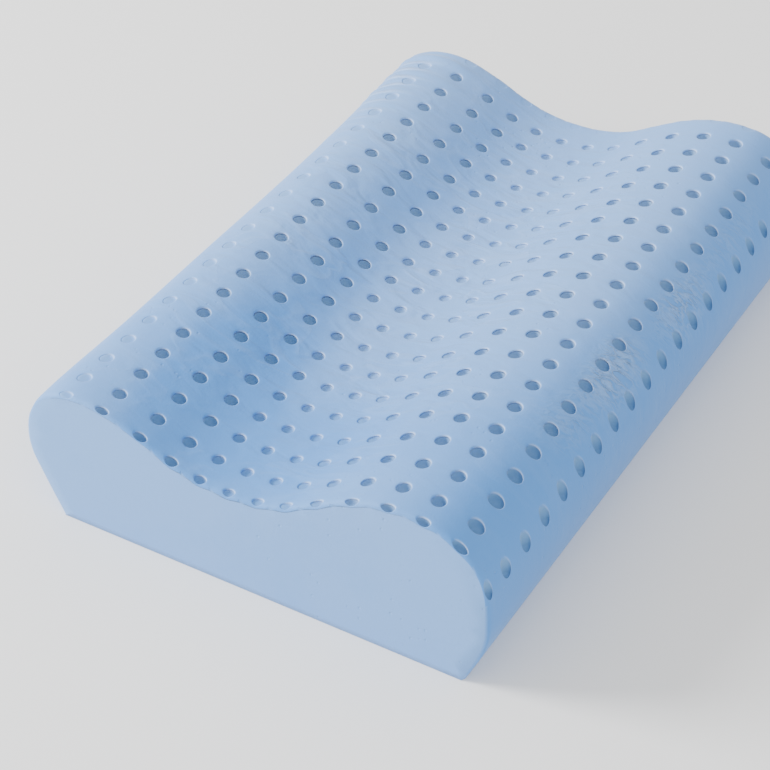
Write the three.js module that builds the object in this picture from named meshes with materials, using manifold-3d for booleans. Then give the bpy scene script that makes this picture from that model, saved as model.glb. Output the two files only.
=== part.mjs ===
import * as THREE from "three";
import { mergeVertices } from "three/addons/utils/BufferGeometryUtils.js";
import Module from "manifold-3d";

// A contoured neck pillow: one moulded block of foam with blind air vents in its top.
// Millimetres, +Z up. X runs across, from the low lobe to the high one, and Y along the length.
// The origin is under the middle of the block, on the surface that it rests on.

const length = 516; // at the floor
const width = 354;
const height = 114.5;
const endLean = 2.5; // each end face leans in by this much at full height
const toeEndRadius = 2; // rounds the flanks into the end faces at the floor
const topEndRadius = 7; // and the top into them, at full height
const endFall = 3; // at full height the skin draws in by this much at the ends
const endFallReach = 90; // and is full again this far in
const fallRings = [25, 60]; // rings of facets this far in from the end rounding
const lowestFalling = 45; // nothing below this height draws in

// The cross-section, from the rear toe over both lobes to the front toe.
// across is measured from the rear bulge, up from the floor.
const outline = [
  { across: 28, up: 0 }, // rear toe
  { across: 19, up: 13 },
  { across: 10, up: 28 },
  { across: 2.5, up: 42 },
  { across: 0, up: 56 }, // rear bulge
  { across: 2, up: 72 },
  { across: 11, up: 87 },
  { across: 26, up: 95.5 },
  { across: 43, up: 99 },
  { across: 61, up: 98 }, // low lobe
  { across: 89, up: 89 },
  { across: 113, up: 78.5 },
  { across: 135, up: 72.5 },
  { across: 158, up: 71 }, // bed for the head
  { across: 180, up: 73 },
  { across: 201, up: 79 },
  { across: 224, up: 91.5 },
  { across: 249, up: 104.5 },
  { across: 274, up: 112.5 },
  { across: 294, up: 114.5 }, // high lobe
  { across: 313, up: 112.5 },
  { across: 330, up: 105 },
  { across: 344, up: 92 },
  { across: 351.5, up: 77 },
  { across: 354, up: 61 }, // front bulge
  { across: 352.5, up: 43 },
  { across: 347.5, up: 23 },
  { across: 337.5, up: 0 }, // front toe
];

// The vents are straight upright pins' holes, in rows across the block.
// They are a little wider on the lobes, where the skin is stretched, than in the bed.
// depth is measured at the vent's middle, straight down.
const ventColumns = [
  { across: 31, bore: 9, depth: 4 }, // these hardly broke the skin
  { across: 59.2, bore: 9.2, depth: 10 },
  { across: 89.3, bore: 9.2, depth: 10 },
  { across: 113.3, bore: 9, depth: 10 },
  { across: 135.5, bore: 8.4, depth: 10 },
  { across: 157.7, bore: 8, depth: 10 },
  { across: 179.9, bore: 8, depth: 10 },
  { across: 201.2, bore: 8.4, depth: 10 },
  { across: 223.7, bore: 9, depth: 10 },
  { across: 248.8, bore: 9.2, depth: 10 },
  { across: 274.3, bore: 9.2, depth: 10 },
  { across: 299.9, bore: 9.2, depth: 10 },
  { across: 326, bore: 9.2, depth: 10 },
  { across: 348.5, bore: 7, depth: 15 }, // on the steep front shoulder
];
const ventRows = 21;
const rowPitch = 25;
const ventSides = 6;
const ventBand = 5.6; // half the width of the flat facet that holds a column of vents
const pinTop = 130; // the cutting pins end clear above the block

const flankStep = 9; // length of a facet on the flanks
const endSteps = 4; // facets round the end edges
const outlineSamples = 900;

// Many evenly spaced points on the outline, each with its outward direction.
function outlinePoints() {
  const knots = outline.map(({ across, up }) => new THREE.Vector3(across - width / 2, 0, up));
  const curve = new THREE.CatmullRomCurve3(knots, false, "centripetal");
  curve.arcLengthDivisions = outlineSamples;
  return Array.from({ length: outlineSamples + 1 }, (_, i) => {
    const point = curve.getPointAt(i / outlineSamples);
    const along = curve.getTangentAt(i / outlineSamples);
    return { x: point.x, z: point.z, outX: -along.z, outZ: along.x };
  });
}

// The index of the point where the top, between the two bulges, passes a place across the block.
function indexAtAcross(points, across) {
  const x = across - width / 2;
  const rear = points.reduce((best, p, i) => (p.x < points[best].x ? i : best), 0);
  return points.findIndex((p, i) => i > rear && p.x >= x);
}

// The few points that the block's facets use: equal steps on the flanks, and on the top
// a pair beside each column of vents, so that each vent opens in one flat facet.
function facetPoints(points) {
  const edges = ventColumns
    .slice(0, -1)
    .flatMap(({ across }) => [across - ventBand, across + ventBand])
    .map((across) => indexAtAcross(points, across));
  const spacing = Math.hypot(points[1].x - points[0].x, points[1].z - points[0].z);
  const run = (from, to) => {
    const steps = Math.ceil(((to - from) * spacing) / flankStep);
    return Array.from({ length: steps }, (_, i) => Math.round(from + ((to - from) * i) / steps));
  };
  const last = points.length - 1;
  const indices = [...run(0, edges[0]), ...edges.slice(0, -1), ...run(edges.at(-1), last), last];
  const chosen = indices.map((i) => ({ ...points[i] }));
  // At the toes the underside stays flat on the floor, so they move only sideways.
  Object.assign(chosen[0], { outX: -1, outZ: 0 });
  Object.assign(chosen.at(-1), { outX: 1, outZ: 0 });
  return chosen;
}

// A ring of points round the block near one end. angle goes from 0 at the end face
// to a right angle where the rounding is over, and onward is the distance in from there.
function ringAt(facets, end, angle, onward) {
  return facets.map(({ x, z, outX, outZ }) => {
    const share = z / height;
    const radius = toeEndRadius + (topEndRadius - toeEndRadius) * share;
    const fromEnd = radius * (1 - Math.cos(angle)) + onward;
    const fall = endFall * Math.max(1 - fromEnd / endFallReach, 0) ** 2;
    const high = Math.max(z - lowestFalling, 0) / (height - lowestFalling);
    const inset = radius * (1 - Math.sin(angle)) + fall * high;
    const y = end * (length / 2 - endLean * share - fromEnd);
    return [x - inset * outX, y, z - inset * outZ];
  });
}

// The rings at one end, from its face inwards.
function endRings(facets, end) {
  const round = Array.from({ length: endSteps + 1 }, (_, i) => {
    return ringAt(facets, end, (Math.PI / 2) * (i / endSteps), 0);
  });
  const inner = fallRings.map((onward) => ringAt(facets, end, Math.PI / 2, onward));
  return [...round, ...inner];
}

// The block before its vents are cut: rings joined by strips, and a cap at each end.
function blockGeometry(facets) {
  const sections = [...endRings(facets, -1), ...endRings(facets, 1).reverse()];
  const count = facets.length;
  const triangles = [];
  for (let s = 0; s + 1 < sections.length; s += 1) {
    for (let i = 0; i < count; i += 1) {
      const a = s * count + i;
      const b = s * count + ((i + 1) % count);
      triangles.push(a, b, a + count, b, b + count, a + count);
    }
  }
  const flat = sections[0].map(([x, , z]) => new THREE.Vector2(x, z));
  const lastSection = (sections.length - 1) * count;
  for (const [a, b, c] of THREE.ShapeUtils.triangulateShape(flat, [])) {
    triangles.push(a, b, c, lastSection + a, lastSection + c, lastSection + b);
  }
  const geometry = new THREE.BufferGeometry();
  geometry.setAttribute("position", new THREE.Float32BufferAttribute(sections.flat(2), 3));
  geometry.setIndex(triangles);
  return geometry;
}

// A closed pin for each vent, standing on the vent's blind end.
function ventPins(points) {
  const pins = [];
  for (const { across, bore, depth } of ventColumns) {
    const surface = points[indexAtAcross(points, across)].z;
    const foot = surface - depth;
    for (let row = 0; row < ventRows; row += 1) {
      const pin = new THREE.CylinderGeometry(bore / 2, bore / 2, pinTop - foot, ventSides);
      pin.rotateY(Math.PI / ventSides).rotateX(Math.PI / 2);
      const y = (row - (ventRows - 1) / 2) * rowPitch;
      pin.translate(across - width / 2, y, (pinTop + foot) / 2);
      pins.push(pin);
    }
  }
  return pins;
}

const wasm = await Module();
wasm.setup();

function toSolid(geometry) {
  const bare = geometry.clone();
  bare.deleteAttribute("normal");
  bare.deleteAttribute("uv");
  const merged = mergeVertices(bare, 1e-4);
  return new wasm.Manifold(
    new wasm.Mesh({
      numProp: 3,
      vertProperties: Float32Array.from(merged.attributes.position.array),
      triVerts: Uint32Array.from(merged.index.array),
    }),
  );
}

function toGeometry(solid) {
  const { vertProperties, triVerts } = solid.getMesh();
  const geometry = new THREE.BufferGeometry();
  geometry.setAttribute("position", new THREE.Float32BufferAttribute(vertProperties, 3));
  geometry.setIndex(Array.from(triVerts));
  geometry.computeVertexNormals();
  return geometry;
}

function foamBlock() {
  const points = outlinePoints();
  let solid = toSolid(blockGeometry(facetPoints(points)));
  for (const pin of ventPins(points)) {
    solid = solid.subtract(toSolid(pin));
  }
  const foam = new THREE.MeshStandardMaterial({ color: 0x9fb9dc, roughness: 0.9, metalness: 0 });
  const block = new THREE.Mesh(toGeometry(solid), foam);
  block.name = "foam_block";
  return block;
}

const pillow = new THREE.Group();
pillow.add(foamBlock());

export default pillow;
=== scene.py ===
import math

import bmesh
import bpy
import numpy as np
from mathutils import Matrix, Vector, geometry


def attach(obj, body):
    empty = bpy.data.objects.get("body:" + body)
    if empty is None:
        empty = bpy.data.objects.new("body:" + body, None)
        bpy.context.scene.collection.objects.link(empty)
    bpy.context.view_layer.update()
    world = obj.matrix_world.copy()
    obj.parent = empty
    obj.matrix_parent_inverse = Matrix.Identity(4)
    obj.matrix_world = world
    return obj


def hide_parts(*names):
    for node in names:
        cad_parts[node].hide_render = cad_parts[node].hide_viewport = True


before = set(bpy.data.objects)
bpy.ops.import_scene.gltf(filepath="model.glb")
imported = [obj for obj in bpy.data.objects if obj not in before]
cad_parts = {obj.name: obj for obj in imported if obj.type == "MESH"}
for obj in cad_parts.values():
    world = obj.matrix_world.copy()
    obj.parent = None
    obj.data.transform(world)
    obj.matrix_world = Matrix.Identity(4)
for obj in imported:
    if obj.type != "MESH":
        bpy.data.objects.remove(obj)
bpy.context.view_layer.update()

# A contoured neck pillow: one moulded block of pale blue foam, bare of any cover.
# Its skin is laid out flat first, in place round the cross-section and in row along the block,
# with a tile of mesh for each air vent. Geometry Nodes repeat the tiles and wrap them round the form.

mm = 0.001
scene = bpy.context.scene


# Node building

class Field:  # a node's output that can stand in a Python sum
    def __init__(self, maker, socket):
        self.maker = maker
        self.socket = socket

    def out(self, name):  # another output of the same node
        return Field(self.maker, self.socket.node.outputs[name])

    def calc(self, operation, *terms):
        return self.maker.add("ShaderNodeMath", {"operation": operation}, terms)

    def __add__(self, other):
        return self.calc("ADD", self, other)

    def __radd__(self, other):
        return self.calc("ADD", other, self)

    def __sub__(self, other):
        return self.calc("SUBTRACT", self, other)

    def __rsub__(self, other):
        return self.calc("SUBTRACT", other, self)

    def __mul__(self, other):
        return self.calc("MULTIPLY", self, other)

    def __rmul__(self, other):
        return self.calc("MULTIPLY", other, self)

    def __truediv__(self, other):
        return self.calc("DIVIDE", self, other)

    def __mod__(self, other):
        return self.calc("FLOORED_MODULO", self, other)

    def __pow__(self, other):
        return self.calc("POWER", self, other)

    def __neg__(self):
        return self.calc("MULTIPLY", self, -1)

    def __gt__(self, other):
        return self.calc("GREATER_THAN", self, other)

    def __abs__(self):
        return self.calc("ABSOLUTE", self)

    def sign(self):
        return self.calc("SIGN", self)

    def sine(self):
        return self.calc("SINE", self)

    def cosine(self):
        return self.calc("COSINE", self)

    def least(self, other):
        return self.calc("MINIMUM", self, other)

    def most(self, other):
        return self.calc("MAXIMUM", self, other)

    def clamp(self, low=0, high=1):
        return self.most(low).least(high)

    def towards(self, other, share):
        return self + (other - self) * share


class NodeMaker:
    def __init__(self, tree):
        self.tree = tree

    def add(self, kind, settings=None, inputs=()):  # settings first, then the sockets' values or links
        node = self.tree.nodes.new(kind)
        for key, value in (settings or {}).items():
            setattr(node, key, value)
        pairs = inputs.items() if isinstance(inputs, dict) else enumerate(inputs)
        for key, value in pairs:
            if isinstance(value, Field):
                self.tree.links.new(value.socket, node.inputs[key])
            else:
                node.inputs[key].default_value = value
        shown = [output for output in node.outputs if output.enabled]
        return Field(self, shown[0]) if shown else None

    def mixColour(self, share, first, second):
        return self.add("ShaderNodeMix", {"data_type": "RGBA"}, {0: share, 6: first, 7: second})

    def xyz(self, x, y, z):
        return self.add("ShaderNodeCombineXYZ", None, [x, y, z])

    def split(self, vector):
        parts = self.add("ShaderNodeSeparateXYZ", None, [vector])
        return parts.out("X"), parts.out("Y"), parts.out("Z")


# The cross-section

profile = {
    "width": 354 * mm,
    "height": 114.5 * mm,
    "toeRound": 1.2 * mm,  # the lower edges are nearly sharp
    "cornerPoints": 5,  # on the rounding of each lower edge
    "samplesPerKnot": 36,
    "outline": [  # millimetres across from the rear bulge, and up from the floor
        (28, 0), (19, 13), (10, 28), (2.5, 42), (0, 56), (2, 72), (11, 87), (26, 95.5),
        (43, 99), (61, 98), (89, 89), (113, 78.5), (135, 72.5), (158, 71), (180, 73),
        (201, 79), (224, 91.5), (249, 104.5), (274, 112.5), (294, 114.5), (313, 112.5),
        (330, 105), (344, 92), (351.5, 77), (354, 61), (352.5, 43), (347.5, 23), (337.5, 0),
    ],
}


def between(a, b, start, end, at):
    return ((end - at) * a + (at - start) * b) / (end - start)


def smoothOutline():  # a centripetal spline through the outline's points
    points = np.array(profile["outline"], float) * mm - (profile["width"] / 2, 0)
    points = np.vstack([2 * points[0] - points[1], points, 2 * points[-1] - points[-2]])
    found = []
    for p0, p1, p2, p3 in zip(points, points[1:], points[2:], points[3:]):
        t1 = math.sqrt(np.linalg.norm(p1 - p0))
        t2 = t1 + math.sqrt(np.linalg.norm(p2 - p1))
        t3 = t2 + math.sqrt(np.linalg.norm(p3 - p2))
        for t in np.linspace(t1, t2, profile["samplesPerKnot"], endpoint=False):
            a = between(p0, p1, 0, t1, t)
            b = between(p1, p2, t1, t2, t)
            c = between(p2, p3, t2, t3, t)
            found.append(between(between(a, b, 0, t2, t), between(b, c, t1, t3, t), t1, t2, t))
    return np.vstack([found, points[-2]])


def roundedCorner(before, corner, after, reach):
    start = corner + (before - corner) * reach / np.linalg.norm(before - corner)
    end = corner + (after - corner) * reach / np.linalg.norm(after - corner)
    shares = np.linspace(0, 1, profile["cornerPoints"])
    return [start * (1 - t) ** 2 + 2 * corner * t * (1 - t) + end * t**2 for t in shares]


def closedProfile():  # from above the rear toe, over both lobes, round the front toe and back below
    skin = smoothOutline()
    rearToe, frontToe = skin[0], skin[-1]
    reach = profile["toeRound"]
    upper = [p for p in skin if min(np.linalg.norm(p - rearToe), np.linalg.norm(p - frontToe)) > reach]
    front = roundedCorner(upper[-1], frontToe, rearToe, reach)
    rear = roundedCorner(frontToe, rearToe, upper[0], reach)
    return np.vstack([upper, front, rear]), len(upper)


section, skinCount = closedProfile()
stepLengths = np.linalg.norm(np.diff(np.vstack([section, section[:1]]), axis=0), axis=1)
sectionPlaces = np.concatenate([[0], np.cumsum(stepLengths)])
perimeter = sectionPlaces[-1]
rearBulge = int(np.argmin(section[:, 0]))
frontBulge = int(np.argmax(section[:, 0]))
print("profile of", len(section), "points,", round(perimeter / mm), "mm round")


def placeOnTop(across):  # how far round the cross-section the top reaches a place across the block
    x = across * mm - profile["width"] / 2
    top = slice(rearBulge, frontBulge + 1)
    return float(np.interp(x, section[top, 0], sectionPlaces[top]))


def profileCurve():
    data = bpy.data.curves.new("profile", "CURVE")
    data.dimensions = "3D"
    spline = data.splines.new("POLY")
    spline.points.add(len(section) - 1)
    for point, (x, z) in zip(spline.points, section):
        point.co = (x, 0, z, 1)
    spline.use_cyclic_u = True
    return bpy.data.objects.new("profile", data)


# The tiles: one with a vent in its middle, and a bare one for the flanks and the underside

vents = {
    "columns": [  # millimetres across from the rear bulge, size across and along, and depth
        (31, 9.6, 9.6, 1.5), (59.2, 9.8, 9.8, 6), (89.3, 9.8, 10, 6.5), (113.3, 9.4, 9.6, 6),
        (135.5, 8.6, 8.8, 4.4), (157.7, 8.2, 8.2, 3), (179.9, 8.2, 8, 2.4), (201.2, 8.4, 8, 2.4),
        (223.7, 8.8, 8.4, 3.4), (248.8, 9.4, 9.2, 4.7), (274.3, 10, 10, 6), (299.9, 10, 10.2, 6.5),
        (326, 9.8, 10.4, 7), (347.4, 7.2, 10, 8.3),
    ],
    "fullDepth": 6 * mm,  # a vent of this depth or more has its full painted shade inside
    "farRowDepth": 0.05,  # share of the depth that is left in the last row, which the photograph hides
    "rows": 21,
    "rowPitch": 25 * mm,
    "lip": 1.1 * mm,  # radius of the rounded mouth
    "leastLip": 0.3,  # share of the lip that is left on the steepest skin
    "litSide": (0.4, 0.5, 0.35),  # painted highlight on a lip: its strength all round, and how it grows to the front and the far end, the sides that catch the key light
    "sideSteps": 6,  # mesh edges along each side of a tile
    "rearMargin": 14 * mm,  # skin behind the first column's middle that its tiles take in
    "frontMargin": 5 * mm,  # and in front of the last column's mouths
    "rings": [  # reach to the mouth, lip out, lip down, share of the wall, size of the floor
        (0, 1, 0, 0, 1),
        (0.36, 1, 0, 0, 1),
        (0.7, 1, 0, 0, 1),
        (1, 1, 0, 0, 1),
        (1, 0.44, 0.11, 0, 1),
        (1, 0.11, 0.44, 0, 1),
        (1, 0, 1, 0, 1),
        (1, 0, 1, 0.5, 0.98),
        (1, 0, 1, 0.92, 0.88),
        (1, 0, 1, 1, 0.55),
    ],
}

skinMesh = {
    "flankStep": 5 * mm,
    "floorStep": 16 * mm,
    "weld": 0.02 * mm,  # the tiles' points are joined where they lie nearer than this
}


def setVectors(mesh, name, values):
    attribute = mesh.attributes.new(name, "FLOAT_VECTOR", "POINT")
    attribute.data.foreach_set("vector", np.array(values, np.float32).ravel())


def tileObject(name, faces, edgePoints, mouthPoints, lipSteps):
    mesh = bpy.data.meshes.new(name)
    mesh.from_pydata([(x, y, 0) for x, y, _ in edgePoints], [], faces)
    setVectors(mesh, "edgePoint", edgePoints)
    setVectors(mesh, "mouthPoint", mouthPoints)
    setVectors(mesh, "lipStep", lipSteps)
    return bpy.data.objects.new(name, mesh)


def tileRim():  # points round a tile's edge, each with its direction round the mouth
    steps = vents["sideSteps"]
    count = 4 * steps
    corners = [(-1, -1), (1, -1), (1, 1), (-1, 1)]
    rim = []
    for i in range(count):
        side, share = divmod(i, steps)
        a = np.array(corners[side])
        b = np.array(corners[(side + 1) % 4])
        turn = math.radians(-135 + 360 * i / count)
        rim.append((*(a + (b - a) * share / steps), math.cos(turn), math.sin(turn)))
    return rim


def ventTile():
    rim = tileRim()
    count = len(rim)
    edgePoints, mouthPoints, lipSteps, faces = [], [], [], []
    for reach, lipOut, lipDown, wall, floor in vents["rings"]:
        for x, y, mouthX, mouthY in rim:
            edgePoints.append((x, y, reach))
            mouthPoints.append((mouthX, mouthY, floor))
            lipSteps.append((lipOut, lipDown, wall))
    middle = len(edgePoints)
    edgePoints.append((0, 0, 1))
    mouthPoints.append((0, 0, 0))
    lipSteps.append((0, 1, 1))
    for ring in range(len(vents["rings"]) - 1):
        for i in range(count):
            a = ring * count + i
            b = ring * count + (i + 1) % count
            faces.append((a, b, b + count, a + count))
    last = (len(vents["rings"]) - 1) * count
    faces += [(last + i, last + (i + 1) % count, middle) for i in range(count)]
    return tileObject("ventTile", faces, edgePoints, mouthPoints, lipSteps)


def bareTile(places, start, end):  # one row's length of the skin between the last column and the first
    steps = vents["sideSteps"]
    edgePoints = []
    for place in places:
        x = 2 * (place - start) / (end - start) - 1
        edgePoints += [(x, 2 * j / steps - 1, 0) for j in range(steps + 1)]
    faces = []
    for i in range(len(places) - 1):
        for j in range(steps):
            a = i * (steps + 1) + j
            faces.append((a, a + steps + 1, a + steps + 2, a + 1))
    still = [(0, 0, 0)] * len(edgePoints)
    return tileObject("bareTile", faces, edgePoints, still, still)


# Each row of columnPoints holds a column's place, its span before and after that, its vents' depth,
# and half the size of their mouths, round the cross-section and along the block.
def columnPoints(name, rows):
    mesh = bpy.data.meshes.new(name)
    mesh.from_pydata([(row[0], 0, 0) for row in rows], [], [])
    setVectors(mesh, "columnSpan", [row[1:4] for row in rows])
    setVectors(mesh, "columnMouth", [(*row[4:6], 0) for row in rows])
    return bpy.data.objects.new(name, mesh)


def columnRows():
    mouths = []
    for across, wide, long, depth in vents["columns"]:
        low = placeOnTop(across - wide / 2)
        high = placeOnTop(across + wide / 2)
        mouths.append(((low + high) / 2, (high - low) / 2, long / 2 * mm, depth * mm))
    middles = [mouth[0] for mouth in mouths]
    start = middles[0] - vents["rearMargin"]
    end = middles[-1] + mouths[-1][1] + vents["frontMargin"]
    edges = [start, *((a + b) / 2 for a, b in zip(middles, middles[1:])), end]
    rows = [
        (middle, middle - before, after - middle, depth, halfPlace, halfRow)
        for (middle, halfPlace, halfRow, depth), before, after in zip(mouths, edges, edges[1:])
    ]
    return rows, end, start + perimeter


def barePlaces(start, end):  # down the front flank, back below and up the rear flank
    cornerPoints = profile["cornerPoints"]
    cornerFront = sectionPlaces[skinCount:skinCount + cornerPoints]
    cornerRear = sectionPlaces[-1 - cornerPoints:-1]
    down = np.arange(start, cornerFront[0] - skinMesh["flankStep"] / 2, skinMesh["flankStep"])
    belowCount = round((cornerRear[0] - cornerFront[-1]) / skinMesh["floorStep"])
    below = np.linspace(cornerFront[-1], cornerRear[0], belowCount)
    upCount = round((end - cornerRear[-1]) / skinMesh["flankStep"])
    up = np.linspace(cornerRear[-1], end, upCount)
    return [*down, *cornerFront, *below[1:-1], *cornerRear, *up[1:]]


# The wrapping: from the flat layout to the block's form, and down into the vents

ends = {
    "halfLength": 258 * mm,
    "lean": 2.5 * mm,  # each end face leans in by this much at full height
    "nearLean": 11.5 * mm,
    "toeRadius": 2 * mm,
    "topRadius": 3 * mm,
    "farTopRadius": 9 * mm,
    "start": 238 * mm,  # the flat layout is stretched from here on, to end where the end face starts
    "layoutEnd": 262 * mm,
    "nearLayoutEnd": 257 * mm,  # the near end was trimmed right beside its vents
    "edgeUpright": 8 * mm,  # the rounding into the end faces works sideways only, near the floor
}


def named(maker, name):
    settings = {"data_type": "FLOAT_VECTOR"}
    return maker.add("GeometryNodeInputNamedAttribute", settings, {"Name": name})


def storeVectors(maker, shape, name, value):
    settings = {"data_type": "FLOAT_VECTOR", "domain": "POINT"}
    inputs = {"Geometry": shape, "Name": name, "Value": value}
    return maker.add("GeometryNodeStoreNamedAttribute", settings, inputs)


def shapeOf(maker, source):
    return maker.add("GeometryNodeObjectInfo", None, {"Object": source}).out("Geometry")


def onProfile(maker, curve, place):
    settings = {"mode": "LENGTH", "data_type": "FLOAT_VECTOR"}
    return maker.add("GeometryNodeSampleCurve", settings, {"Curves": curve, "Length": place})


def placeTiles(maker, group, points, tile):  # a tile on every row of every column, made real
    copies = {"Geometry": points, "Amount": group.out("Rows")}
    rows = maker.add("GeometryNodeDuplicateElements", {"domain": "POINT"}, copies)
    along = (rows.out("Duplicate Index") - (group.out("Rows") - 1) / 2) * group.out("Row Pitch")
    moves = {"Geometry": rows, "Offset": maker.xyz(0.0, along, 0.0)}
    spread = maker.add("GeometryNodeSetPosition", None, moves)
    kept = storeVectors(maker, spread, "tileMiddle", maker.add("GeometryNodeInputPosition"))
    instances = {"Points": kept, "Instance": shapeOf(maker, tile)}
    placed = maker.add("GeometryNodeInstanceOnPoints", None, instances)
    return maker.add("GeometryNodeRealizeInstances", None, {"Geometry": placed})


def wrappedPlace(maker, group):
    edgeX, edgeY, reach = maker.split(named(maker, "edgePoint"))
    mouthX, mouthY, floorSize = maker.split(named(maker, "mouthPoint"))
    lipOut, lipDown, wall = maker.split(named(maker, "lipStep"))
    spanBefore, spanAfter, depth = maker.split(named(maker, "columnSpan"))
    halfPlace, halfRow, _ = maker.split(named(maker, "columnMouth"))
    middlePlace, middleRow, _ = maker.split(named(maker, "tileMiddle"))
    rowPitch = group.out("Row Pitch")
    inFarRow = middleRow > rowPitch * (group.out("Rows") / 2 - 1)
    depth = depth * (1 - inFarRow * (1 - group.out("Far Row Depth")))
    curve = shapeOf(maker, group.out("Profile"))

    # Flat layout
    lip = group.out("Lip")
    nearEnd = group.out("Near Layout End")
    farEnd = group.out("Layout End")
    span = spanBefore.towards(spanAfter, edgeX > 0)
    place = (edgeX * span).towards(mouthX * (halfPlace * floorSize + lip * lipOut), reach) + middlePlace
    row = (edgeY * rowPitch / 2 + middleRow).clamp(-nearEnd, farEnd)
    row = row.towards(mouthY * (halfRow * floorSize + lip * lipOut) + middleRow, reach)
    layoutEnd = nearEnd.towards(farEnd, row > 0)

    # Round the cross-section
    place = place % perimeter
    at = onProfile(maker, curve, place)
    x, _, z = maker.split(at.out("Position"))
    tangentX, _, tangentZ = maker.split(at.out("Tangent"))
    upright = (z / group.out("Edge Upright")).clamp()
    outX, outZ = -tangentZ, tangentX * upright

    # Round the end edges
    stretchStart = group.out("Stretch Start")
    share = z / profile["height"]
    topRadius = group.out("Top Radius").towards(group.out("Far Top Radius"), row > 0)
    radius = group.out("Toe Radius").towards(topRadius, share)
    lean = group.out("Near Lean").towards(group.out("Lean"), row > 0)
    faceAt = group.out("Half Length") - lean * share
    straight = faceAt - radius - stretchStart
    stretch = (straight + radius * math.pi / 2) / (layoutEnd - stretchStart)
    past = (abs(row) - stretchStart).most(0) * stretch
    angle = ((past - straight) / radius).clamp(0, math.pi / 2)
    onEnd = stretchStart + past.least(straight) + radius * angle.sine()
    y = abs(row).towards(onEnd, abs(row) > stretchStart) * row.sign()
    inset = radius * (1 - angle.cosine())

    # Down over the lip and into the vent
    surface = z - inset * outZ
    middle = onProfile(maker, curve, middlePlace)
    foot = maker.split(middle.out("Position"))[2].towards(surface, inFarRow) - depth
    lipDrop = (lip * tangentX.clamp(vents["leastLip"], 1)).least(depth / 2)
    depthAt = (surface - lipDrop * lipDown).towards(foot, wall)
    position = maker.xyz(x - inset * outX, y, depthAt)

    # What the relief and the material read: the layout, the painted highlight on a lip, and how deep its
    # vent, which sets the painted shade inside
    deepShare = (depth / group.out("Full Depth")).least(1)
    onLip = lipDown * (1 - wall) * lipDrop / lip
    allRound, toFront, toFarEnd = vents["litSide"]  # painted highlight, palest on the side of a mouth that catches the key light
    litSide = (allRound + mouthX * toFront + mouthY * toFarEnd).clamp()
    layout = maker.xyz(place, row, wall * deepShare)
    rim = maker.xyz(onLip * litSide, deepShare, 0.0)
    return position, layout, rim


def pillowTree():
    tree = bpy.data.node_groups.new("mouldedFoam", "GeometryNodeTree")
    tree.interface.new_socket("Geometry", in_out="OUTPUT", socket_type="NodeSocketGeometry")
    sockets = {
        "Geometry": ("NodeSocketGeometry", None),
        "Bare Band": ("NodeSocketObject", bareBand),
        "Vent Tile": ("NodeSocketObject", tiles[0]),
        "Bare Tile": ("NodeSocketObject", tiles[1]),
        "Profile": ("NodeSocketObject", guide),
        "Rows": ("NodeSocketInt", vents["rows"]),
        "Row Pitch": ("NodeSocketFloat", vents["rowPitch"]),
        "Lip": ("NodeSocketFloat", vents["lip"]),
        "Full Depth": ("NodeSocketFloat", vents["fullDepth"]),
        "Far Row Depth": ("NodeSocketFloat", vents["farRowDepth"]),
        "Half Length": ("NodeSocketFloat", ends["halfLength"]),
        "Lean": ("NodeSocketFloat", ends["lean"]),
        "Near Lean": ("NodeSocketFloat", ends["nearLean"]),
        "Toe Radius": ("NodeSocketFloat", ends["toeRadius"]),
        "Top Radius": ("NodeSocketFloat", ends["topRadius"]),
        "Far Top Radius": ("NodeSocketFloat", ends["farTopRadius"]),
        "Stretch Start": ("NodeSocketFloat", ends["start"]),
        "Layout End": ("NodeSocketFloat", ends["layoutEnd"]),
        "Near Layout End": ("NodeSocketFloat", ends["nearLayoutEnd"]),
        "Edge Upright": ("NodeSocketFloat", ends["edgeUpright"]),
        "Weld": ("NodeSocketFloat", skinMesh["weld"]),
        "Material": ("NodeSocketMaterial", foamMaterial),
    }
    values = {}
    for name, (kind, value) in sockets.items():
        item = tree.interface.new_socket(name, in_out="INPUT", socket_type=kind)
        if value is not None:
            values[item.identifier] = value
    maker = NodeMaker(tree)
    group = maker.add("NodeGroupInput")
    vented = placeTiles(maker, group, group.out("Geometry"), group.out("Vent Tile"))
    bare = placeTiles(maker, group, shapeOf(maker, group.out("Bare Band")), group.out("Bare Tile"))
    joined = maker.add("GeometryNodeJoinGeometry", None, {"Geometry": vented})
    tree.links.new(bare.socket, joined.socket.node.inputs[0])
    position, layout, rim = wrappedPlace(maker, group)
    marked = storeVectors(maker, storeVectors(maker, joined, "layout", layout), "rim", rim)
    wrapped = maker.add("GeometryNodeSetPosition", None, {"Geometry": marked, "Position": position})
    near = {"Geometry": wrapped, "Distance": group.out("Weld")}
    welded = maker.add("GeometryNodeMergeByDistance", None, near)
    smooth = maker.add("GeometryNodeSetShadeSmooth", None, {"Geometry": welded, "Shade Smooth": True})
    real = maker.add("GeometryNodeRealizeInstances", None, {"Geometry": smooth})
    finish = {"Geometry": real, "Material": group.out("Material")}
    dressed = maker.add("GeometryNodeSetMaterial", None, finish)
    maker.add("NodeGroupOutput", None, [dressed])
    return tree, values


# The relief: what a hand and the mould leave on the skin, over the regular form

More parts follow.
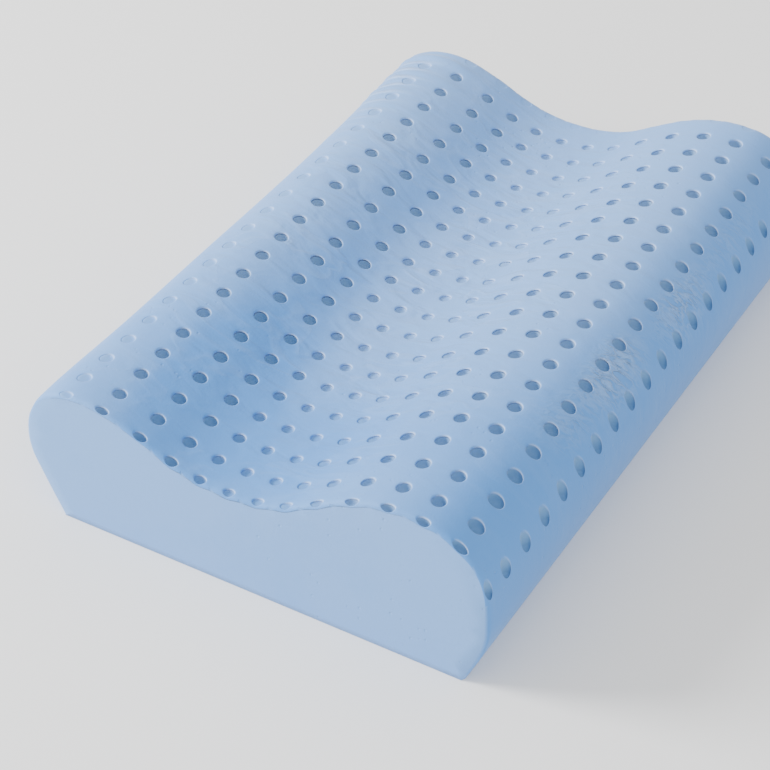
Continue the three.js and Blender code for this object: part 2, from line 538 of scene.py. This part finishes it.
relief = {
    "sags": [  # millimetres across and along, reach across and along, and rise
        (60, -195, 35, 50, -3.2),  # the low lobe is slacker at the near end
        (14, 80, 14, 95, -2.8),
        (20, -225, 20, 50, 3.8),
        (165, 245, 50, 70, -3),
        (325, -270, 40, 55, -5.8),  # the high lobe draws in at the near end
        (348, 265, 16, 60, -4),
    ],
    "slides": [  # the same, but the vents lie further round the skin
        (45, 230, 45, 85, 5.6), (352, -262, 17, 70, 9),
    ],
    "lowest": 30 * mm,  # the flanks below this height stay as they are
    "highest": 75 * mm,  # and above this one they sag and slide in full
    "ridges": [  # millimetres round the cross-section and along, half length, half width, rise
        (112, 238, 24, 3.2, 2.8), (140, 235, 16, 3, 1.6), (106, 224, 16, 3, 2.2), (110, 212, 22, 3.2, 2.8),
        (106, 200, 15, 3, 2.2), (104, 187, 16, 3.2, 2.4), (104, 176, 13, 3, 1.8), (109, 163, 11, 3, 1.3),
        (112, 151, 10, 3, 1.2), (123, 81, 13, 3, 1), (125, 46, 15, 3, 0.9), (124, -125, 11, 3, 1),
        (130, -69, 13, 3, 0.8), (106, 120, 10, 3, 0.8),
    ],
    "notch": {  # the near edge dips beside its vents
        "columns": (3, 12),  # the first and the last that have one
        "drop": 1.2 * mm,
        "reach": 6 * mm,
        "from": 250 * mm,
        "to": 257 * mm,
    },
}

looks = {  # where the material shows what: the same columns as the sags, and strength
    "crinkled": [
        (333, -58, 9, 16, 1), (332, -30, 10, 14, 0.8), (338, 45, 9, 28, 0.9), (330, -110, 12, 25, 0.6),
        (337, 140, 9, 40, 0.5),
    ],
    "ribbed": [(106, 205, 13, 40, 1)],  # measured round the cross-section
    "rippled": [
        (175, 0, 100, 190, 0.9), (60, 60, 24, 150, 0.35),
    ],
    # painted shade: a deeper blue where the skin faces away from the light, on the low lobe's inner slope
    # and the front flank, and over the near part of the block
    "paintedShade": [
        (100, -190, 28, 80, 1.25), (102, -20, 22, 100, 0.5), (106, 180, 20, 80, 0.3), (352, 0, 28, 400, 0.9),
        (310, -230, 34, 80, 0.55), (165, -215, 50, 60, 0.7), (10, -190, 34, 130, 0.4),
        (225, -160, 50, 90, 0.42), (345, 0, 20, 400, 0.12),
    ],
}

looksFade = {
    "full": 75 * mm,  # the looks fade from this height down to the floor
    "deepDownTo": 5 * mm,  # but the painted shade on the front flank is as deep as above, down to here
    "endMargin": 0.1 * mm,  # and the end faces, this near to the layout's ends, have none
}


def readVectors(mesh, name):
    values = np.zeros(3 * len(mesh.vertices), np.float32)
    mesh.attributes[name].data.foreach_get("vector", values)
    return values.reshape(-1, 3).astype(float)


def hump(x, y, patch):
    middleX, middleY, reachX, reachY = np.array(patch[:4]) * mm
    return np.exp(-0.5 * (((x - middleX) / reachX) ** 2 + ((y - middleY) / reachY) ** 2))


def eased(value, low, high):
    share = np.clip((value - low) / (high - low), 0, 1)
    return share * share * (3 - 2 * share)


def notchDrop(place, along):
    notch = relief["notch"]
    first, last = notch["columns"]
    middles = [placeOnTop(column[0]) for column in vents["columns"][first:last + 1]]
    near = sum(np.exp(-((place - middle) / notch["reach"]) ** 2) for middle in middles)
    return notch["drop"] * near * eased(-along, notch["from"], notch["to"])


def shapeRelief(mesh):
    place, along, down = readVectors(mesh, "layout").T
    outline = np.vstack([section, section[:1]])
    tangent = np.gradient(outline, axis=0)
    tangent /= np.linalg.norm(tangent, axis=1)[:, None]
    x, z, alongX, alongZ = (np.interp(place, sectionPlaces, v) for v in (*outline.T, *tangent.T))
    across = x + profile["width"] / 2
    free = eased(z, relief["lowest"], relief["highest"])
    out = sum(patch[4] * mm * hump(across, along, patch) for patch in relief["sags"])
    slid = place + sum(patch[4] * mm * hump(across, along, patch) for patch in relief["slides"])
    slideX = np.interp(slid, sectionPlaces, outline[:, 0]) - x
    slideZ = np.interp(slid, sectionPlaces, outline[:, 1]) - z
    out += sum(patch[4] * mm * hump(place, along, patch) for patch in relief["ridges"]) * (1 - down)
    points = np.zeros(3 * len(mesh.vertices))
    mesh.vertices.foreach_get("co", points)
    points = points.reshape(-1, 3)
    points[:, 0] += free * (slideX - alongZ * out)
    points[:, 2] += free * (slideZ + alongX * out) - notchDrop(place, along) * (1 - down)
    mesh.vertices.foreach_set("co", points.ravel())
    storeLooks(mesh, place, along, x, z)


def storeLooks(mesh, place, along, x, z):
    across = x + profile["width"] / 2
    onNearFace = along < looksFade["endMargin"] - ends["nearLayoutEnd"]
    onFarFace = along > ends["layoutEnd"] - looksFade["endMargin"]
    for name, patches in looks.items():
        over = place if name == "ribbed" else across
        fade = eased(z, 0, looksFade["full"])
        if name == "paintedShade":
            fade = np.where(x > 0, eased(z, 0, looksFade["deepDownTo"]), fade)
        amount = sum(patch[4] * hump(over, along, patch) for patch in patches) * fade
        amount[onNearFace | onFarFace] = 0
        attribute = mesh.attributes.new(name, "FLOAT", "POINT")
        attribute.data.foreach_set("value", np.minimum(amount, 1).astype(np.float32))


# Foam material

foam = {
    "base": (0.17, 0.355, 0.715, 1),
    # the deeper blue of the painted shade, and of the clouds and flecks
    "deep": (0.055, 0.24, 0.62, 1),
    # painted shade inside the vents, on pale and on deep skin: a greyer, less blue colour, fuller in deeper
    # vents
    "vent": (0.225, 0.385, 0.615, 1),
    "deepVent": (0.11, 0.275, 0.53, 1),
    # the pale colour of the painted highlights on the lips and along the ridges
    "rim": (0.44, 0.6, 0.88, 1),
    "roughness": 0.72,
    "sheen": 0.15,
    "cloudDepth": 0.55,  # how far the clouds and the flecks take the colour to the deep one
    "fleckDepth": 0.12,
    "ventEdge": 5,  # how soon down its wall a vent takes on its painted shade
    "bump": 0.5 * mm,
}

grain = {
    "noises": {  # scale, detail and distortion
        "clouds": (14, 4, 0),
        "flecks": (160, 3, 0),
        "ribBends": (24, 1, 0),
        "crinkles": (100, 2, 1),
        "creases": (18, 1, 1),
        "creasedPlaces": (11, 1, 0),
        "ripples": (26, 2, 0.5),
        "cells": (700, 3, 0),
        "pittedPlaces": (9, 1, 0),
    },
    "ribPitch": 12.4 * mm,
    "ribBend": 0.7,  # in pitches
    "rippleTurn": 0.5,
    "rippleScale": (1, 2.6, 1),
    "crinkleTurn": math.radians(28),
    "crinkleSize": (1.2, 0.55, 2),
    "crinkleFrom": 0.22,  # the part of a crinkled patch's strength that shows nothing yet
    "crinkleGain": 1.3,
    "crinkleSharpness": 7,
    "creaseSharpness": 13,
    "creasedOver": 0.52,  # creases and pits show where the noise of their places is over these
    "pittedOver": 0.56,
    "pitScale": 130,
    "pitSize": 0.16,
}

# how far each mark is painted toward the pale rim colour: painted highlight on the vents' lips and along the
# ridges of the ribs, crinkles and creases
paleness = {"rim": 1.7, "crinkles": 0.28, "creases": 0.1, "ribs": 0.5}
heights = {"ripples": 9, "cells": 0.3, "pits": -5, "crinkles": 2.2, "creases": 0.8, "ribs": 2}


def makeFoamMaterial():
    material = bpy.data.materials.new("paleBlueFoam")
    material.use_nodes = True
    tree = material.node_tree
    tree.nodes.clear()
    maker = NodeMaker(tree)
    place = maker.add("ShaderNodeTexCoord").out("Object")

    def attribute(name, output="Fac"):
        return maker.add("ShaderNodeAttribute", {"attribute_name": name}).out(output)

    def noise(name, at=place):
        scale, detail, distortion = grain["noises"][name]
        inputs = {"Vector": at, "Scale": scale, "Detail": detail, "Distortion": distortion}
        return maker.add("ShaderNodeTexNoise", None, inputs)

    def mapped(kind, turn, scale):
        inputs = {"Vector": place, "Rotation": (0, 0, turn), "Scale": scale}
        return maker.add("ShaderNodeMapping", {"vector_type": kind}, inputs)

    def lines(field, sharpness):  # thin lines where a noise passes its middle value
        return (1 - abs(field - 0.5) * sharpness).most(0)

    # Lines that are too fine for the mesh: ribs on the far crest, crinkles and a few creases
    rippled = attribute("rippled")
    turned = mapped("POINT", grain["rippleTurn"], grain["rippleScale"])
    slanted = mapped("TEXTURE", grain["crinkleTurn"], grain["crinkleSize"])
    ribAt = maker.split(place)[1] / grain["ribPitch"] + noise("ribBends") * grain["ribBend"]
    ribs = (ribAt * (2 * math.pi)).cosine().most(0) ** 2 * attribute("ribbed")
    crinkled = ((attribute("crinkled") - grain["crinkleFrom"]) * grain["crinkleGain"]).most(0)
    crinkles = lines(noise("crinkles", slanted), grain["crinkleSharpness"]) * crinkled
    creased = (noise("creasedPlaces") > grain["creasedOver"]) * rippled
    creases = lines(noise("creases", turned), grain["creaseSharpness"]) * creased

    # Colour: paler and deeper clouds, painted shade where the skin faces away from the light, painted
    # highlights on the lips and ridges, and painted shade in the vents
    clouds = (noise("clouds") - 0.5) * foam["cloudDepth"]
    flecks = (noise("flecks") - 0.5) * foam["fleckDepth"]
    # how deep the colour goes: painted shade, plus the random clouds and flecks
    deep = (attribute("paintedShade") + clouds + flecks).clamp()
    colour = maker.mixColour(deep, foam["base"], foam["deep"])
    rim, deepShare, _ = maker.split(attribute("rim", "Vector"))
    # painted highlight: the lips and the ridges of the ribs, crinkles and creases are painted paler
    pale = rim * paleness["rim"] + crinkles * paleness["crinkles"]
    pale = (pale + creases * paleness["creases"] + ribs * paleness["ribs"]).clamp()
    colour = maker.mixColour(pale, colour, foam["rim"])
    down = maker.split(attribute("layout", "Vector"))[2]
    # painted shade in the vents, from partway down the wall, fuller the deeper the vent
    inVent = (down * foam["ventEdge"]).clamp() * deepShare
    colour = maker.mixColour(inVent, colour, maker.mixColour(deep, foam["vent"], foam["deepVent"]))

    # Relief, on the skin alone
    pitAt = maker.add("ShaderNodeTexVoronoi", None, {"Vector": place, "Scale": grain["pitScale"]})
    pitted = noise("pittedPlaces") > grain["pittedOver"]
    pits = (grain["pitSize"] - pitAt.out("Distance")).most(0) * pitted
    height = noise("ripples", turned) * rippled * heights["ripples"] + noise("cells") * heights["cells"]
    height = height + pits * heights["pits"] + crinkles * heights["crinkles"]
    height = height + creases * heights["creases"] + ribs * heights["ribs"]
    relieved = {"Strength": 1.0, "Distance": foam["bump"], "Height": height * (1 - inVent)}
    shader = maker.add("ShaderNodeBsdfPrincipled", None, {
        "Base Color": colour,
        "Roughness": foam["roughness"],
        "Sheen Weight": foam["sheen"],
        "Normal": maker.add("ShaderNodeBump", None, relieved),
    })
    maker.add("ShaderNodeOutputMaterial", None, {"Surface": shader})
    return material


foamMaterial = makeFoamMaterial()
print("foam material made")


# The foam block

endFaces = {
    "step": 9 * mm,  # between the points inside an end face
    "rowShare": 0.87,  # their rows lie this share of a step apart
    "clearShare": 0.45,  # and they keep this share of a step from the skin
    "tolerance": 1e-7,
}


def facePoints(edge):  # staggered rows of points, clear of the edge; those outside it are dropped later
    step = endFaces["step"]
    xs = np.arange(-profile["width"] / 2, profile["width"] / 2, step)
    zs = np.arange(step / 2, profile["height"], step * endFaces["rowShare"])
    points = [Vector((x + (row % 2) * step / 2, z)) for row, z in enumerate(zs) for x in xs]
    corners = np.array([(p.x, p.y) for p in edge])
    clear = step * endFaces["clearShare"]
    return [p for p in points if np.hypot(*(corners - (p.x, p.y)).T).min() > clear]


def closeEnds(bm):  # fills each end face with a mesh of its own, inside the last ring of skin
    for end in (-1, 1):
        ring = [v for v in bm.verts if v.is_boundary and v.co.y * end > 0]
        edges = [e for e in bm.edges if e.is_boundary and e.verts[0].co.y * end > 0]
        order = {v: i for i, v in enumerate(ring)}
        flat = [Vector((v.co.x, v.co.z)) for v in ring]
        links = [(order[e.verts[0]], order[e.verts[1]]) for e in edges]
        found = geometry.delaunay_2d_cdt(flat + facePoints(flat), links, [], 1, endFaces["tolerance"])
        points, triangles, sources = found[0], found[2], found[3]
        lean = ends["lean" if end > 0 else "nearLean"]
        vertexAt = {}
        for k in sorted({k for triangle in triangles for k in triangle}):
            point = points[k]
            old = [i for i in sources[k] if i < len(ring)]
            if old:
                vertexAt[k] = ring[old[0]]
            else:
                y = end * (ends["halfLength"] - lean * point.y / profile["height"])
                vertexAt[k] = bm.verts.new((point.x, y, point.y))
        for triangle in triangles:
            corners = [vertexAt[k] for k in triangle]
            bm.faces.new(corners if end < 0 else corners[::-1]).smooth = True


rows, bandStart, bandEnd = columnRows()
tiles = (ventTile(), bareTile(barePlaces(bandStart, bandEnd), bandStart, bandEnd))
guide = profileCurve()
halfBand = (bandEnd - bandStart) / 2
bareBand = columnPoints("bareBand", [(bandStart + halfBand, halfBand, halfBand, 0, 0, 0)])
layoutObject = columnPoints("ventColumns", rows)
helpers = (*tiles, guide, bareBand, layoutObject)
for helper in helpers:
    scene.collection.objects.link(helper)

tree, values = pillowTree()
modifier = layoutObject.modifiers.new("mouldedFoam", "NODES")
modifier.node_group = tree
for identifier, value in values.items():
    modifier[identifier] = value
graph = bpy.context.evaluated_depsgraph_get()
shaped = layoutObject.evaluated_get(graph)
foamMesh = bpy.data.meshes.new_from_object(shaped, preserve_all_data_layers=True, depsgraph=graph)
layoutObject.modifiers.remove(modifier)
for helper in helpers:
    bpy.data.objects.remove(helper)
print("skin of", len(foamMesh.polygons), "faces")

shapeRelief(foamMesh)
bm = bmesh.new()
bm.from_mesh(foamMesh)
closeEnds(bm)
for face in bm.faces:
    face.material_index = 0
bmesh.ops.recalc_face_normals(bm, faces=bm.faces)
openEdges = sum(1 for e in bm.edges if not e.is_manifold)
print("open edges:", openEdges, "triangles:", sum(len(f.verts) - 2 for f in bm.faces))
bm.to_mesh(foamMesh)
bm.free()
foamMesh.materials.clear()
foamMesh.materials.append(foamMaterial)
foamMesh.name = "foam_pillow"
pillow = bpy.data.objects.new("foam_pillow", foamMesh)
scene.collection.objects.link(pillow)

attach(pillow, "root")
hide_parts("foam_block")


# Floor, light and camera

studio = {
    "floorSize": 12,
    "floorColour": (0.83, 0.83, 0.825, 1),
    "floorRoughness": 0.9,
    "worldColour": (1, 1, 1, 1),
    "worldStrength": 0.62,
    "keyPlace": (-2.7, -1.0, 1.55),
    "keyTarget": (0, 0, 0.05),
    "keySize": 1.3,
    "keyPower": 100,
    "fillPlace": (2.6, -2.2, 2.6),
    "fillTarget": (0.3, 0, 0),
    "fillSize": 3,
    "fillPower": 20,
    "exposure": 1.0,
}

view = {
    "place": (0.6487, -1.196, 1.1148),
    "azimuth": 30.17,
    "elevation": 39.55,
    "lens": 112.92,
    "sensor": 36,
    "farthest": 50,
}


def makeFloor():
    mesh = bpy.data.meshes.new("floor")
    half = studio["floorSize"] / 2
    corners = [(-half, -half, 0), (half, -half, 0), (half, half, 0), (-half, half, 0)]
    mesh.from_pydata(corners, [], [(0, 1, 2, 3)])
    floor = bpy.data.objects.new("floor", mesh)
    material = bpy.data.materials.new("paleFloor")
    material.use_nodes = True
    shader = material.node_tree.nodes["Principled BSDF"]
    shader.inputs["Base Color"].default_value = studio["floorColour"]
    shader.inputs["Roughness"].default_value = studio["floorRoughness"]
    mesh.materials.append(material)
    scene.collection.objects.link(floor)


def makeLight(name):
    data = bpy.data.lights.new(name, "AREA")
    data.shape = "DISK"
    data.size = studio[name + "Size"]
    data.energy = studio[name + "Power"]
    light = bpy.data.objects.new(name, data)
    light.location = studio[name + "Place"]
    towards = Vector(studio[name + "Target"]) - Vector(studio[name + "Place"])
    light.rotation_euler = towards.to_track_quat("-Z", "Y").to_euler()
    scene.collection.objects.link(light)


def makeWorld():
    world = bpy.data.worlds.new("studio")
    world.use_nodes = True
    background = world.node_tree.nodes["Background"]
    background.inputs["Color"].default_value = studio["worldColour"]
    background.inputs["Strength"].default_value = studio["worldStrength"]
    scene.world = world


def makeCamera():
    data = bpy.data.cameras.new("camera")
    data.lens = view["lens"]
    data.sensor_width = view["sensor"]
    data.clip_end = view["farthest"]
    camera = bpy.data.objects.new("camera", data)
    camera.location = view["place"]
    camera.rotation_euler = (math.radians(90 - view["elevation"]), 0, math.radians(view["azimuth"]))
    scene.collection.objects.link(camera)
    scene.camera = camera


makeFloor()
makeWorld()
makeLight("key")
makeLight("fill")
makeCamera()
scene.view_settings.view_transform = "AgX"
scene.view_settings.exposure = studio["exposure"]
print("studio made")
